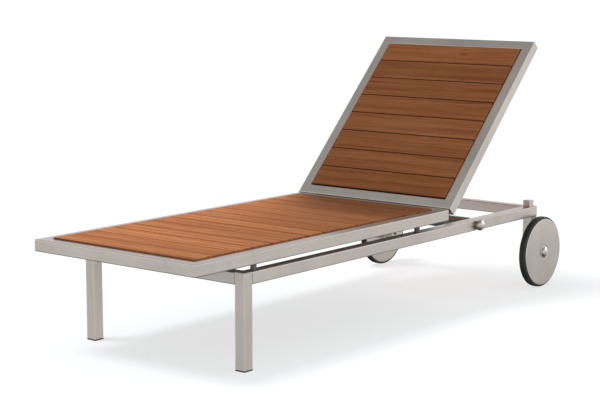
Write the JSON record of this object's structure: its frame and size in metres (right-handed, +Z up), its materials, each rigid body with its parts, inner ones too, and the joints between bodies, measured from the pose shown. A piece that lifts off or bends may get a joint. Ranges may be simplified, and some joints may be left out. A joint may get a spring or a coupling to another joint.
{
  "type": "sun lounger",
  "caption": "Reclining sun lounger with a box-section steel frame, slatted wooden seat and back, folding prop under the back, and a pair of solid wheels at the head end.",
  "frame": {"origin": "on the ground, under the middle of the bounding box with the back raised", "axes": "+X to the right of someone lying on it, +Y towards the head end, +Z up"},
  "size_m": [0.8146, 2.082, 0.9512],
  "materials": {
    "brushed_steel": "satin stainless steel, brushed along each tube",
    "turned_steel": "satin stainless steel with a fine turned grain",
    "teak": "oiled teak, grain along each slat",
    "tyre": "matt black solid rubber",
    "glide_plastic": "matt black nylon"
  },
  "bodies": {
    "base": {"base_side_rail_left": "brushed_steel", "base_side_rail_right": "brushed_steel", "base_front_cross_rail": "brushed_steel", "base_rear_cross_rail": "brushed_steel", "front_leg_left": "brushed_steel", "front_leg_right": "brushed_steel", "wheel_post_left": "brushed_steel", "wheel_post_right": "brushed_steel", "back_rest_stub_left": "brushed_steel", "back_rest_stub_right": "brushed_steel", "leg_glide_left": "glide_plastic", "leg_glide_right": "glide_plastic", "seat_side_rail_left": "brushed_steel", "seat_side_rail_right": "brushed_steel", "seat_front_rail": "brushed_steel", "seat_rear_rail": "brushed_steel", "seat_batten_left": "brushed_steel", "seat_batten_right": "brushed_steel", "seat_slat_01": "teak", "seat_slat_02": "teak", "seat_slat_03": "teak", "seat_slat_04": "teak", "seat_slat_05": "teak", "seat_slat_06": "teak", "seat_slat_07": "teak", "seat_slat_08": "teak", "seat_slat_09": "teak", "seat_slat_10": "teak", "seat_slat_11": "teak", "seat_slat_12": "teak", "seat_slat_13": "teak", "seat_slat_14": "teak", "hinge_seat_leaf_left": "turned_steel", "hinge_seat_leaf_right": "turned_steel", "wheel_axle_left": "turned_steel", "wheel_axle_right": "turned_steel"},
    "backrest": {"back_side_rail_left": "brushed_steel", "back_side_rail_right": "brushed_steel", "back_bottom_rail": "brushed_steel", "back_top_rail": "brushed_steel", "back_batten_rack_left": "brushed_steel", "back_batten_rack_right": "brushed_steel", "back_slat_01": "teak", "back_slat_02": "teak", "back_slat_03": "teak", "back_slat_04": "teak", "back_slat_05": "teak", "back_slat_06": "teak", "back_slat_07": "teak", "back_slat_08": "teak", "hinge_back_leaf_left": "turned_steel", "hinge_back_leaf_right": "turned_steel"},
    "prop": {"prop_frame": "brushed_steel"},
    "knob_left": {"hand_knob_left": "turned_steel"},
    "wheel_left": {"tyre_left": "tyre", "wheel_disc_left": "turned_steel"},
    "knob_right": {"hand_knob_right": "turned_steel"},
    "wheel_right": {"tyre_right": "tyre", "wheel_disc_right": "turned_steel"}
  },
  "joints": [
    {"name": "recline", "type": "hinge", "parent": "base", "child": "backrest", "pos_m": [0, 0.308, 0.3675], "axis": [1, 0, 0], "range_deg": [-44.8, 0]},
    {"name": "prop_fold", "type": "hinge", "parent": "base", "child": "prop", "pos_m": [0, 0.496, 0.292], "axis": [1, 0, 0], "range_deg": [-69, 0]},
    {"name": "knob_turn_left", "type": "hinge", "parent": "prop", "child": "knob_left", "pos_m": [-0.365, 0.496, 0.292], "axis": [-1, 0, 0], "range_deg": [0, 360]},
    {"name": "knob_turn_right", "type": "hinge", "parent": "prop", "child": "knob_right", "pos_m": [0.365, 0.496, 0.292], "axis": [1, 0, 0], "range_deg": [0, 360]},
    {"name": "wheel_spin_left", "type": "hinge", "parent": "base", "child": "wheel_left", "pos_m": [-0.378, 0.904, 0.137], "axis": [1, 0, 0], "continuous": true},
    {"name": "wheel_spin_right", "type": "hinge", "parent": "base", "child": "wheel_right", "pos_m": [0.378, 0.904, 0.137], "axis": [1, 0, 0], "continuous": true}
  ],
  "couplings": [
    {"joint": "prop_fold", "follows": "recline", "ratio": 1.5379}
  ]
}
